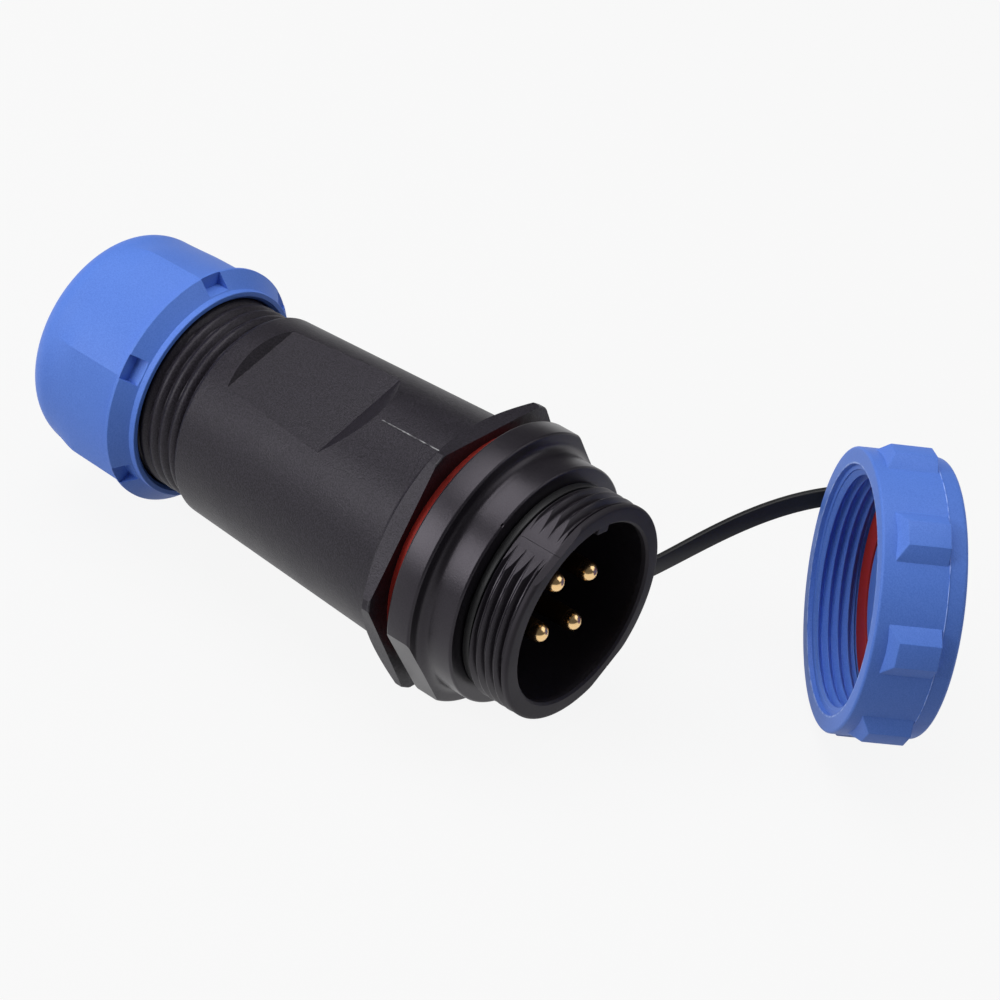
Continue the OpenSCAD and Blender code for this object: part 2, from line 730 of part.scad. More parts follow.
module cap_strap() {
  color(black) union() {
    turned() band(ring_bore_r, ring_r, ring_x + strap_ring_t/2, ring_x - strap_ring_t/2);
    strap_band();
    in_cap() turned() band(eye_r, eye_r + eye_w, eye_x + strap_ring_t/2, eye_x - strap_ring_t/2);
  }
}

// Grip rib on the cap's -Y side: a trapezoid with a sloped front end
module cap_rib() {
  foot_r = cap_r - over;
  foot_sink = cap_r - sqrt(pow(cap_r, 2) - pow(rib_foot_w/2, 2));
  flare = (rib_foot_w - rib_top_w)/2/(rib_h + foot_sink);
  buried = rib_top_w/2 + flare*(rib_h + over);
  intersection() {
    translate([rib_rear_x, 0, 0]) rotate([0, 90, 0]) linear_extrude(-rib_rear_x)
      polygon([[-buried, -foot_r], [buried, -foot_r], [rib_top_w/2, -rib_r], [-rib_top_w/2, -rib_r]]);
    translate([0, 0, -rib_foot_w]) linear_extrude(2*rib_foot_w)
      polygon([
        [rib_rear_x, -foot_r], [rib_slope*over/rib_h - rib_inset, -foot_r],
        [-rib_inset - rib_slope, -rib_r], [rib_rear_x, -rib_r]
      ]);
  }
}

module cap_section() {
  difference() {
    polygon([
      [0, 0], [cap_r - edge, 0], [cap_r, -edge], [cap_r, bevel_x], [cap_back_d/2, -cap_depth],
      [0, -cap_depth]
    ]);
    polygon([
      [0, over], [cap_mouth_d/2, over], [cap_mouth_d/2, 0], [cap_bore_r, -cap_lead_len],
      [cap_bore_r, gasket_rear_x], [gasket_bore_d/2 - run_clear, gasket_rear_x],
      [gasket_bore_d/2 - run_clear, gasket_rear_x + gasket_boss_h], [0, gasket_rear_x + gasket_boss_h]
    ]);
  }
  band(0, stud_d/2, -cap_depth + over, -cap_depth - stud_len - edge);
  polygon([
    [0, -cap_depth - stud_len], [stud_head_d/2, -cap_depth - stud_len],
    [stud_head_d/2 - edge, -cap_depth - stud_len - stud_head_t], [0, -cap_depth - stud_len - stud_head_t]
  ]);
}

module dust_cap() {
  color(blue) in_cap() union() {
    turned() cap_section();
    for (i = [0:rib_count - 1]) {
      at_angle(rib_angle + i*360/rib_count) cap_rib();
    }
  }
}

module cap_gasket() {
  color(red) in_cap() turned() band(gasket_bore_d/2, gasket_r, gasket_front_x, gasket_rear_x);
}

receptacle_shell();
contact_insert();
contact_retainer();
contact_pin_1();
contact_pin_2();
contact_pin_3();
contact_pin_4();
contact_seals();
terminal_screws();
insert_seal();
insert_lock_ring();
flange_seal();
back_shell();
clamp_cage();
cable_seal();
gland_nut();
cap_strap();
dust_cap();
cap_gasket();
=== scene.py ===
"""Looks of the circular cable connector with its tethered dust cap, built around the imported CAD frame."""

import math

import bpy
from mathutils import Matrix, Vector


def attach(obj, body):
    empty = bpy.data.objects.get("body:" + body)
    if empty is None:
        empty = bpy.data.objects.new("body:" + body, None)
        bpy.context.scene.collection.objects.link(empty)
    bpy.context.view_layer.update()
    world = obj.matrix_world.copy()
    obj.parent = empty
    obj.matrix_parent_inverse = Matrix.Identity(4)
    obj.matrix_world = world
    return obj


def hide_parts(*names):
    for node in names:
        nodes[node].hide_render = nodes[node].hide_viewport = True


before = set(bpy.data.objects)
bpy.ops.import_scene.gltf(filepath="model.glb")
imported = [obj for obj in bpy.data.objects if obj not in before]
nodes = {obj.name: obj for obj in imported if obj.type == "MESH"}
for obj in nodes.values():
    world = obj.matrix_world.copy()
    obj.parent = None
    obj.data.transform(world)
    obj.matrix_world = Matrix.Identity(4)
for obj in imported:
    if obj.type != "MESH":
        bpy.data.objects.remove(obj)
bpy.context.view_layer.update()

MM = 0.001
FULL_TURN = 2 * math.pi

# Stations along the connector's axis and radii, in millimetres
# Receptacle: rim, coupling thread, neck, flange and tail
RIM_X, RIM_R, MOUTH_R = 1.8, 16.75, 14.1
THREAD_X, THREAD_END = 0.6, -5.2
CREST_R, ROOT_R, FLAT_R = 16.8, 15.95, 15.9
GROOVE_R, NECK_X, NECK_R = 15.6, -6.7, 18.6
FLANGE_X, FLANGE_REAR, FLANGE_R = -12.0, -16.1, 21.3
TAIL_R, TAIL_END = 15.0, -29.9
# Back shell: hexagon with a coned back, tapered body and rear thread
HEX_X, HEX_EDGE, CONE_END = -18.5, -19.8, -22.2
SHELL_R, SHELL_TAPER = 18.16, 1.75 / 39
SHELL_END, REAR_THREAD_END = -62.6, -74.6
# Gland nut, front and end
NUT_X, NUT_END = -70.0, -93.2
# Middles of the strap's ring and, counted from the cap's mouth, of its eye
RING_X, EYE_X = -5.95, -13.15
# Pitch of the coupling thread and of the cap's thread
FINE_PITCH = 1.5
# Radius outside every piece that is turned on the axis
CLEAR_R = 24.0
# Angle of the receptacle's parting line about the axis, in degrees
PARTING = 60.0
# Angle past which an edge of a moulded piece stays sharp, in degrees
MOULDED_SHARP = 14

# Dust cap: the middle of its mouth, its turn and its lean
CAP_PLACE = Vector((23.9, 30.9, 1.0486)) * MM
CAP_TURN, CAP_LEAN = math.radians(-136.7), math.radians(3.7)
CAP_MATRIX = (
    Matrix.Translation(CAP_PLACE)
    @ Matrix.Rotation(CAP_TURN, 4, "Z")
    @ Matrix.Rotation(-CAP_LEAN, 4, "Y")
)


def round_the_axis(radius, degrees, station=0.0):
    """Point at an angle about the connector's axis, counted from -Y towards +Z, in metres."""
    a = math.radians(degrees)
    return Vector((station, -radius * math.cos(a), radius * math.sin(a))) * MM


def radius_of(v):
    """Distance of a mesh point from the axis, in millimetres."""
    return math.hypot(v.co.y, v.co.z) / MM


def set_radius(v, radius):
    """Moves a mesh point straight out from the axis, or in, to a radius in millimetres."""
    k = radius / radius_of(v)
    v.co.y *= k
    v.co.z *= k


def eased(t):
    """Goes from 0 to 1 with a soft start and a soft end."""
    t = min(1, max(0, t))
    return t * t * (3 - 2 * t)


def only(ob):
    """Selects one object and makes it the active one."""
    bpy.ops.object.select_all(action="DESELECT")
    ob.select_set(True)
    bpy.context.view_layer.objects.active = ob


def edit(ob):
    """Opens one object for editing, with all of its mesh selected."""
    only(ob)
    bpy.ops.object.mode_set(mode="EDIT")
    bpy.ops.mesh.select_all(action="SELECT")


def leave_edit():
    """Goes back from editing a mesh."""
    bpy.ops.object.mode_set(mode="OBJECT")


def just_added(name):
    """Names the object that an operator has just added."""
    ob = bpy.context.object
    ob.name = name
    ob.data.name = name
    return ob


def settle(ob):
    """Puts an object's place, turn and scale into its mesh."""
    only(ob)
    bpy.ops.object.transform_apply(location=True, rotation=True, scale=True)
    return ob


def soften(section, steps=5):
    """Section points (station, radius) or (station, radius, edge radius), with each edge rounded."""
    out = []
    count = len(section)
    for i, p in enumerate(section):
        here = Vector(p[:2])
        r = p[2] if len(p) > 2 else 0
        if not r:
            out.append(here)
            continue
        a = (Vector(section[i - 1][:2]) - here).normalized()
        b = (Vector(section[(i + 1) % count][:2]) - here).normalized()
        half = math.acos(max(-1, min(1, a.dot(b)))) / 2
        reach = r / math.tan(half)
        middle = here + (a + b).normalized() * (r / math.sin(half))
        first = here + a * reach - middle
        last = here + b * reach - middle
        span = first.angle_signed(last)
        for k in range(steps + 1):
            out.append(middle + Matrix.Rotation(-span * k / steps, 2) @ first)
    return out


def rows(x0, x1, radius, step):
    """Points of a straight wall, close enough together to carry a thread."""
    n = max(1, round(abs(x1 - x0) / step))
    return [(x0 + (x1 - x0) * i / n, radius) for i in range(n + 1)]


def turned(name, section, steps, start=0.0):
    """Solid turned about the connector's axis from a closed section of stations and radii."""
    bpy.ops.object.select_all(action="DESELECT")
    bpy.ops.mesh.primitive_circle_add(vertices=len(section), radius=MM, fill_type="NOTHING")
    ob = just_added(name)
    for v, (x, r) in zip(ob.data.vertices, section):
        v.co = round_the_axis(r, start, x)
    edit(ob)
    bpy.ops.mesh.spin(steps=steps, angle=FULL_TURN, center=(0, 0, 0), axis=(1, 0, 0))
    bpy.ops.mesh.select_all(action="SELECT")
    bpy.ops.mesh.remove_doubles(threshold=2e-6)
    bpy.ops.mesh.delete_loose()
    bpy.ops.mesh.select_all(action="SELECT")
    bpy.ops.mesh.normals_make_consistent(inside=False)
    leave_edit()
    return ob


def cut_thread(ob, front, rear, root, height, pitch, shape, fade, inward=False, start=0.0):
    """Raises a right-hand thread from a wall of close rows, easing in and out at its ends."""
    on_wall = 0.02
    for v in ob.data.vertices:
        x = v.co.x / MM
        r = radius_of(v)
        if abs(r - root) > on_wall or not rear <= x <= front:
            continue
        ease = eased(min((front - x) / fade, (x - rear) / fade))
        phase = ((x - start) / pitch - math.atan2(v.co.z, v.co.y) / FULL_TURN) % 1
        rise = height * ease * shape(1 - abs(2 * phase - 1))
        set_radius(v, r - rise if inward else r + rise)


def sharp_tooth(f):
    """Tooth with a narrow rounded crest and a narrow root: f is 0 in the root and 1 on the crest."""
    root, flank, bulge = 0.12, 0.8, 0.12
    t = min(1, max(0, (f - root) / flank))
    return t * (1 + bulge - bulge * t)


def round_tooth(f):
    """Wide rounded ridge with a narrow root."""
    root, fullness = 0.08, 0.8
    t = min(1, max(0, (f - root) / (1 - root)))
    return math.sin(t * math.pi / 2) ** fullness


def saw_flat(ob, degrees, distance):
    """Saws the whole piece off square at a distance from the axis, and closes the cut."""
    n = round_the_axis(1, degrees).normalized()
    edit(ob)
    bpy.ops.mesh.bisect(
        plane_co=n * distance * MM, plane_no=n, use_fill=True, clear_outer=True, threshold=1e-7
    )
    leave_edit()


def block(name, low, high):
    """Box between two corners in millimetres, drawn on the -Y side of the axis."""
    bpy.ops.object.select_all(action="DESELECT")
    low, high = Vector(low), Vector(high)
    bpy.ops.mesh.primitive_cube_add(size=1, location=(low + high) / 2 * MM, scale=(high - low) * MM)
    return settle(just_added(name))


def outer_corners(ob):
    """Corners of a block that lie on its side away from the axis."""
    far = min(v.co.y for v in ob.data.vertices)
    return [v for v in ob.data.vertices if v.co.y < far + 0.1 * MM]


def round_edges(ob, radius, segments):
    """Rounds every edge of a block."""
    edit(ob)
    bpy.ops.mesh.bevel(offset=radius * MM, segments=segments, affect="EDGES")
    leave_edit()


def turn_to(ob, degrees):
    """Turns a piece drawn on the -Y side to an angle about the axis."""
    ob.rotation_euler = (-math.radians(degrees), 0, 0)
    return settle(ob)


def put(ob, matrix):
    """Moves a finished piece to its place and leaves its object at the origin."""
    ob.matrix_world = matrix
    return settle(ob)


def combine(body, tool, operation):
    """Joins a tool piece to a body, or takes it out of it."""
    m = body.modifiers.new(operation.lower(), "BOOLEAN")
    m.object = tool
    m.operation = operation
    m.solver = "EXACT"
    only(body)
    bpy.ops.object.modifier_apply(modifier=m.name)
    bpy.data.objects.remove(tool)


def mark_wear_and_glint(ob, rule):
    """Stores how pale each face is painted, for wear and for painted highlights, by a rule on its middle in
    millimetres.
    """
    wear_and_glint = ob.data.attributes.new("wear_and_glint", "FLOAT", "FACE")
    for face, value in zip(ob.data.polygons, wear_and_glint.data):
        value.value = rule(face.center / MM)


def finish_piece(ob, body, material, replaces=(), sharp=32, wear_and_glint=None):
    """Cleans and shades the piece, gives it its finish and hangs it on its CAD body."""
    edit(ob)
    bpy.ops.mesh.remove_doubles(threshold=4e-6)
    leave_edit()
    if wear_and_glint:
        mark_wear_and_glint(ob, wear_and_glint)
    only(ob)
    bpy.ops.object.shade_smooth_by_angle(angle=math.radians(sharp))
    ob.data.materials.clear()
    ob.data.materials.append(material)
    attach(ob, body)
    if replaces:
        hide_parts(*replaces)
    return ob


FLOAT, VECTOR = "NodeSocketFloat", "NodeSocketVector"


def new_group(name, inputs, outputs):
    """Empty shader node group with named sockets."""
    tree = bpy.data.node_groups.new(name, "ShaderNodeTree")
    for label, kind, value in inputs:
        socket = tree.interface.new_socket(label, in_out="INPUT", socket_type=kind)
        socket.default_value = value
    for label, kind in outputs:
        tree.interface.new_socket(label, in_out="OUTPUT", socket_type=kind)
    return tree, tree.nodes.new("NodeGroupInput"), tree.nodes.new("NodeGroupOutput")


def add(tree, kind, **settings):
    """New node with its settings."""
    node = tree.nodes.new(kind)
    for key, value in settings.items():
        setattr(node, key, value)
    return node


def feed(tree, value, socket):
    """Gives a socket a plain number, or links another node's socket to it."""
    if isinstance(value, (int, float)):
        socket.default_value = value
    else:
        tree.links.new(value, socket)


def maths(tree, operation, a, b):
    """Math node on two sockets or plain numbers."""
    node = add(tree, "ShaderNodeMath", operation=operation)
    feed(tree, a, node.inputs[0])
    feed(tree, b, node.inputs[1])
    return node.outputs[0]


def clamped(tree, value):
    """Holds a value between 0 and 1."""
    node = add(tree, "ShaderNodeClamp")
    tree.links.new(value, node.inputs["Value"])
    return node.outputs[0]


def noise(tree, scale, detail, vector):
    """Soft noise at a scale, which is a socket or a plain number."""
    node = add(tree, "ShaderNodeTexNoise")
    node.inputs["Detail"].default_value = detail
    feed(tree, scale, node.inputs["Scale"])
    tree.links.new(vector, node.inputs["Vector"])
    return node.outputs["Fac"]


def mixed(tree, factor, first, second):
    """Colour between a first one, which is a socket or a plain colour, and a second plain colour."""
    node = add(tree, "ShaderNodeMix", data_type="RGBA")
    tree.links.new(factor, node.inputs["Factor"])
    if isinstance(first, tuple):
        node.inputs["A"].default_value = (*first, 1)
    else:
        tree.links.new(first, node.inputs["A"])
    node.inputs["B"].default_value = (*second, 1)
    return node.outputs["Result"]


def moulded_grain_group():
    """Fine grain of a surface: its height, a mask of its high spots and a slow drift of tone."""
    tree, given, result = new_group(
        "moulded_grain",
        [("Place", VECTOR, (0, 0, 0)), ("Grain Scale", FLOAT, 4000), ("Flow Scale", FLOAT, 120)],
        [("Height", FLOAT), ("Specks", FLOAT), ("Flow", FLOAT)],
    )
    coarser, fine_share, speck_level, speck_gain = 0.23, 0.6, 0.36, 3.4
    place, scale = given.outputs["Place"], given.outputs["Grain Scale"]
    fine = noise(tree, scale, 2, place)
    coarse = noise(tree, maths(tree, "MULTIPLY", scale, coarser), 3, place)
    fine_part = maths(tree, "MULTIPLY", fine, fine_share)
    coarse_part = maths(tree, "MULTIPLY", coarse, 1 - fine_share)
    height = maths(tree, "ADD", fine_part, coarse_part)
    high_spots = maths(tree, "SUBTRACT", fine, speck_level)
    specks = clamped(tree, maths(tree, "MULTIPLY", high_spots, speck_gain))
    flow = noise(tree, given.outputs["Flow Scale"], 3, place)
    for value, label in ((height, "Height"), (specks, "Specks"), (flow, "Flow")):
        tree.links.new(value, result.inputs[label])
    return tree


def wear_and_glint_group():
    """Breaks up the faces painted pale for wear and as painted highlights, so that a pale edge comes and
    goes.
    """
    tree, given, result = new_group(
        "wear_and_glint_patches",
        [("Wear And Glint", FLOAT, 0), ("Place", VECTOR, (0, 0, 0))],
        [("Mask", FLOAT)],
    )
    patch_scale, patch_level, patch_gain = 900, 0.36, 4
    spots = noise(tree, patch_scale, 3, given.outputs["Place"])
    patch_spots = maths(tree, "SUBTRACT", spots, patch_level)
    patches = clamped(tree, maths(tree, "MULTIPLY", patch_spots, patch_gain))
    tree.links.new(maths(tree, "MULTIPLY", patches, given.outputs["Wear And Glint"]), result.inputs["Mask"])
    return tree


def axis_zone_group():
    """Mask that goes from 0 to 1 past a place along the connector's axis."""
    tree, given, result = new_group(
        "axis_zone",
        [("Place", VECTOR, (0, 0, 0)), ("Start", FLOAT, 0), ("Slope", FLOAT, 1000)],
        [("Mask", FLOAT)],
    )
    axes = add(tree, "ShaderNodeSeparateXYZ")
    tree.links.new(given.outputs["Place"], axes.inputs[0])
    past = maths(tree, "SUBTRACT", axes.outputs["X"], given.outputs["Start"])
    zone = clamped(tree, maths(tree, "MULTIPLY", past, given.outputs["Slope"]))
    tree.links.new(zone, result.inputs["Mask"])
    return tree


GRAIN = moulded_grain_group()
WEAR_AND_GLINT = wear_and_glint_group()
AXIS_ZONE = axis_zone_group()


def new_material(name):
    """Material with its node tree and its main shader."""
    mat = bpy.data.materials.new(name)
    mat.use_nodes = True
    return mat, mat.node_tree, mat.node_tree.nodes["Principled BSDF"]


def add_grain(tree, shader, place, grain, flow, bump):
    """Places the grain in a material and gives the shader its relief."""
    surface = add(tree, "ShaderNodeGroup", node_tree=GRAIN)
    surface.inputs["Grain Scale"].default_value = grain
    surface.inputs["Flow Scale"].default_value = flow
    tree.links.new(place, surface.inputs["Place"])
    relief = add(tree, "ShaderNodeBump")
    relief.inputs["Strength"].default_value = bump
    relief.inputs["Distance"].default_value = 0.1 * MM
    tree.links.new(surface.outputs["Height"], relief.inputs["Height"])
    tree.links.new(relief.outputs["Normal"], shader.inputs["Normal"])
    return surface


def moulded(name, deep, light, rough, grain, bump, specular,
            drift=0.5, speck=0.25, rubbed_and_glinting=None, tint=(1, 1, 1)):
    """Moulded plastic or rubber: two tones that drift and speck, fine grain, and marked edges painted pale
    for wear and as painted highlights.
    """
    mat, tree, shader = new_material(name)
    shader.inputs["Specular IOR Level"].default_value = specular
    shader.inputs["Specular Tint"].default_value = (*tint, 1)
    place = add(tree, "ShaderNodeTexCoord").outputs["Object"]
    surface = add_grain(tree, shader, place, grain, flow=120, bump=bump)
    drifting = maths(tree, "MULTIPLY", surface.outputs["Flow"], drift)
    specked = maths(tree, "MULTIPLY", surface.outputs["Specks"], speck)
    colour = mixed(tree, maths(tree, "ADD", drifting, specked), deep, light)
    # Marked faces are painted pale: rubbed wear on some, painted highlights on edges on others
    if rubbed_and_glinting:
        wear_and_glint_patches = add(tree, "ShaderNodeGroup", node_tree=WEAR_AND_GLINT)
        wear_and_glint = add(tree, "ShaderNodeAttribute", attribute_name="wear_and_glint")
        tree.links.new(wear_and_glint.outputs["Fac"], wear_and_glint_patches.inputs["Wear And Glint"])
        tree.links.new(place, wear_and_glint_patches.inputs["Place"])
        colour = mixed(tree, wear_and_glint_patches.outputs["Mask"], colour, rubbed_and_glinting)
    tree.links.new(colour, shader.inputs["Base Color"])
    spread = 0.16
    uneven = maths(tree, "MULTIPLY", surface.outputs["Flow"], spread)
    tree.links.new(maths(tree, "ADD", uneven, rough - spread / 2), shader.inputs["Roughness"])
    return mat


def plated(name, colour, tarnish, rough):
    """Plated metal: a faint grain and a little tarnish."""
    mat, tree, shader = new_material(name)
    shader.inputs["Metallic"].default_value = 1
    place = add(tree, "ShaderNodeTexCoord").outputs["Object"]
    surface = add_grain(tree, shader, place, grain=5000, flow=600, bump=0.05)
    tarnished, spread = 0.5, 0.1
    dulled = maths(tree, "MULTIPLY", surface.outputs["Flow"], tarnished)
    tree.links.new(mixed(tree, dulled, colour, tarnish), shader.inputs["Base Color"])
    uneven = maths(tree, "MULTIPLY", surface.outputs["Flow"], spread)
    tree.links.new(maths(tree, "ADD", uneven, rough), shader.inputs["Roughness"])
    return mat


def darker_rougher_zone(mat, start, slope, colour, rougher):
    """Makes a material darker and rougher past a place along the connector's axis."""
    tree = mat.node_tree
    shader = tree.nodes["Principled BSDF"]
    zone = add(tree, "ShaderNodeGroup", node_tree=AXIS_ZONE)
    zone.inputs["Start"].default_value = start * MM
    zone.inputs["Slope"].default_value = slope / MM
    tree.links.new(add(tree, "ShaderNodeTexCoord").outputs["Object"], zone.inputs["Place"])
    mask = zone.outputs["Mask"]
    clean = shader.inputs["Base Color"].links[0].from_socket
    tree.links.new(mixed(tree, mask, clean, colour), shader.inputs["Base Color"])
    rough = shader.inputs["Roughness"].links[0].from_socket
    added = maths(tree, "MULTIPLY", mask, rougher)
    tree.links.new(maths(tree, "ADD", rough, added), shader.inputs["Roughness"])


SHELL_BLACK = moulded(
    "shell_black_grain",
    deep=(0.006, 0.0051, 0.0072),
    light=(0.029, 0.0252, 0.0342),
    rough=0.44,
    grain=4200,
    bump=0.8,
    specular=0.28,
    drift=0.25,
    speck=0.7,
    # Pale colour for the mould line and for a painted highlight on the hexagon's front edge
    rubbed_and_glinting=(0.3, 0.3, 0.31),
    tint=(0.95, 0.91, 1),
)
RECEPTACLE_BLACK = moulded(
    "receptacle_black_satin",
    deep=(0.0065, 0.0054, 0.0076),
    light=(0.0175, 0.0152, 0.02),
    rough=0.33,
    grain=5000,
    bump=0.22,
    specular=0.4,
    drift=0.3,
    speck=0.6,
    tint=(0.95, 0.88, 1),
)
INSERT_BLACK = moulded(
    "insert_black",
    deep=(0.006, 0.006, 0.0064),
    light=(0.011, 0.011, 0.0115),
    rough=0.5,
    grain=5000,
    bump=0.2,
    specular=0.3,
)
BLUE_NYLON = moulded(
    "blue_nylon",
    deep=(0.076, 0.18, 0.63),
    light=(0.124, 0.258, 0.76),
    rough=0.5,
    grain=4800,
    bump=0.5,
    specular=0.25,
    drift=0.35,
    speck=0.45,
    # Pale colour for the whitened flash line and for a painted highlight on the lip's inner edge
    rubbed_and_glinting=(0.34, 0.48, 0.9),
)
RED_SILICONE = moulded(
    "red_silicone",
    deep=(0.36, 0.018, 0.012),
    light=(0.47, 0.032, 0.02),
    rough=0.55,
    grain=3000,
    bump=0.15,
    specular=0.3,
)
SEAL_BLACK = moulded(
    "seal_rubber",
    deep=(0.011, 0.011, 0.011),
    light=(0.02, 0.02, 0.02),
    rough=0.62,
    grain=3000,
    bump=0.2,
    specular=0.3,
)
STRAP_BLACK = moulded(
    "strap_black",
    deep=(0.012, 0.012, 0.013),
    light=(0.024, 0.024, 0.026),
    rough=0.42,
    grain=3800,
    bump=0.15,
    specular=0.3,
)
GOLD_PLATE = plated("gold_plate", colour=(0.95, 0.66, 0.33), tarnish=(0.78, 0.47, 0.2), rough=0.17)
SCREW_STEEL = plated("screw_steel", colour=(0.6, 0.6, 0.6), tarnish=(0.42, 0.42, 0.41), rough=0.28)

# The rim in front of the thread is darker and rougher; the pins behind their tips are rougher and darker, a
# painted shade down in the insert
darker_rougher_zone(RECEPTACLE_BLACK, start=THREAD_X, slope=4, colour=(0.0085, 0.0074, 0.0098), rougher=0.3)
darker_rougher_zone(GOLD_PLATE, start=-2.3, slope=-1.5, colour=(0.2, 0.115, 0.045), rougher=0.1)


def receptacle():
    """Black receptacle: rim, coupling thread with its moulding flats, neck, flange and tail."""
    band_rear, chamfer = 0.85, 0.35
    seat_x, seat_r, insert_r = -14.2, 11.8, 13.5
    edge, fine_edge, rim_edge, band_edge, fillet = 0.4, 0.12, 0.55, 0.08, 1.4
    rim = [
        (RIM_X, MOUTH_R + chamfer, fine_edge),
        (RIM_X, RIM_R, rim_edge),
        (band_rear, RIM_R, band_edge),
    ]
    thread = rows(THREAD_X, THREAD_END, ROOT_R, step=0.08)
    outside = [
        (THREAD_END, GROOVE_R),
        (NECK_X, GROOVE_R),
        (NECK_X, NECK_R, edge),
        (FLANGE_X, NECK_R, fillet),
        (FLANGE_X, FLANGE_R, edge),
        (FLANGE_REAR, FLANGE_R, edge),
        (FLANGE_REAR, TAIL_R),
        (TAIL_END, TAIL_R, edge),
    ]
    inside = [
        (TAIL_END, insert_r),
        (seat_x, insert_r),
        (seat_x, seat_r),
        (FLANGE_X, seat_r),
        (FLANGE_X, MOUTH_R),
        (RIM_X - chamfer, MOUTH_R, fine_edge),
    ]
    section = soften(rim + thread + outside + inside, steps=8)
    ob = turned("receptacle_body", section, steps=432, start=PARTING)
    cut_thread(
        ob,
        front=THREAD_X,
        rear=THREAD_END,
        root=ROOT_R,
        height=CREST_R - ROOT_R,
        pitch=FINE_PITCH,
        shape=sharp_tooth,
        fade=0.35,
        start=-0.5,
    )
    past_rim = RIM_X + 2
    flat_rear, flat_half, flange_flat = -6.0, 9.0, 19.6
    line_rear, line_half, line_r = -4.9, 0.06, FLAT_R - 0.09
    for a in (PARTING, PARTING + 180):
        flat = block("thread_flat", (flat_rear, -CLEAR_R, -flat_half), (past_rim, -FLAT_R, flat_half))
        combine(ob, turn_to(flat, a), "DIFFERENCE")
        line = block("parting_line", (line_rear, -CLEAR_R, -line_half), (past_rim, -line_r, line_half))
        combine(ob, turn_to(line, a), "DIFFERENCE")
        saw_flat(ob, a - 90, flange_flat)
    nick_half, nick_long, nick_r, nick_turn, past = 0.25, 0.35, NECK_R - 0.3, PARTING - 3, 1
    nick = block(
        "neck_nick",
        (NECK_X - nick_long, -NECK_R - past, -nick_half),
        (NECK_X + past, -nick_r, nick_half),
    )
    combine(ob, turn_to(nick, nick_turn), "DIFFERENCE")
    key_half, key_r, key_turn, sunk = 1.2, MOUTH_R - 1.2, 99, 0.4
    key = block(
        "mouth_key",
        (FLANGE_X - sunk, -MOUTH_R - sunk, -key_half),
        (RIM_X - sunk, -key_r, key_half),
    )
    round_edges(key, radius=0.2, segments=3)
    combine(ob, turn_to(key, key_turn), "UNION")
    return finish_piece(
        ob, "connector", RECEPTACLE_BLACK, ["receptacle_shell"], MOULDED_SHARP
    )


def back_shell():
    """Black back shell: hexagon with a coned back, tapered body, spanner flats and rear thread."""
    hex_corner, hex_half, hex_turn, front_bore = 22.5, 19.9, 33, 15.25
    shell_end_r, thread_root, thread_tip = 16.35, 14.75, 14.4
    thread_x, thread_rear = SHELL_END - 0.02, REAR_THREAD_END + 0.4
    wiring_x, wiring_r = -31.5, 13.0
    stop_x, stop_rear, stop_r, cage_r = -55.2, -57.2, 10.4, 12.6
    outside = [
        (HEX_X, front_bore, 0.3),
        (HEX_X, hex_corner, 0.3),
        (HEX_EDGE, hex_corner, 0.15),
        (CONE_END, SHELL_R, 0.9),
        (SHELL_END, shell_end_r, 1.0),
    ]
    thread = rows(thread_x, thread_rear, thread_root, step=0.14)
    inside = [
        (REAR_THREAD_END, thread_tip),
        (REAR_THREAD_END, cage_r),
        (stop_rear, cage_r),
        (stop_rear, stop_r),
        (stop_x, stop_r),
        (stop_x, wiring_r),
        (wiring_x, wiring_r),
        (wiring_x, front_bore),
    ]
    ob = turned("back_shell_body", soften(outside + thread + inside, steps=8), steps=288)
    cut_thread(
        ob,
        front=thread_x,
        rear=thread_rear,
        root=thread_root,
        height=0.65,
        pitch=2.0,
        shape=round_tooth,
        fade=0.5,
    )
    for k in range(6):
        saw_flat(ob, hex_turn + 60 * k, hex_half)

    def body_r(x):
        """Radius of the tapered body at a station."""
        return SHELL_R + (x - CONE_END) * SHELL_TAPER

    flat_x, flat_rear, flat_r, flat_half, flat_turn = -38.4, -57.6, 15.0, 12.0, 74
    front_slope, rear_slope = math.radians(34), math.radians(58)
    front_run = (CLEAR_R - flat_r) / math.tan(front_slope)
    rear_run = (CLEAR_R - flat_r) / math.tan(rear_slope)
    flat_middle = (flat_x + flat_rear) / 2
    line_x, line_rear, line_half, line_tall = CONE_END + 0.3, -33.2, 0.09, 0.07
    line_turn = flat_turn - 1.3
    for side in (0, 180):
        flat = block("spanner_flat", (flat_rear, -CLEAR_R, -flat_half), (flat_x, -flat_r, flat_half))
        for v in outer_corners(flat):
            v.co.x += front_run * MM if v.co.x > flat_middle * MM else -rear_run * MM
        combine(ob, turn_to(flat, flat_turn + side), "DIFFERENCE")
        line = block("mould_line", (line_rear, -SHELL_R, -line_half), (line_x, -flat_r, line_half))
        for v in outer_corners(line):
            v.co.y = -(body_r(v.co.x / MM) + line_tall) * MM
        combine(ob, turn_to(line, line_turn + side), "UNION")

    across_y, across_z = math.sin(math.radians(line_turn)), math.cos(math.radians(line_turn))

    def rubbed_and_glinting(middle):
        """The mould line is painted pale, and the hexagon's front edge a little as a painted highlight."""
        out = math.hypot(middle.y, middle.z) - body_r(middle.x)
        aside = abs(middle.y * across_y + middle.z * across_z)
        # The mould line is painted pale along its top
        if line_rear - 0.8 < middle.x < line_x and 0.02 < out < 0.2 and aside < 0.12:
            return 1.0
        # The hexagon's front edge: a faint painted highlight
        if HEX_X - 0.32 < middle.x < HEX_X - 0.02 and out > 1.2:
            return 0.16
        return 0.0

    return finish_piece(
        ob, "connector", SHELL_BLACK, ["back_shell"], MOULDED_SHARP, rubbed_and_glinting
    )


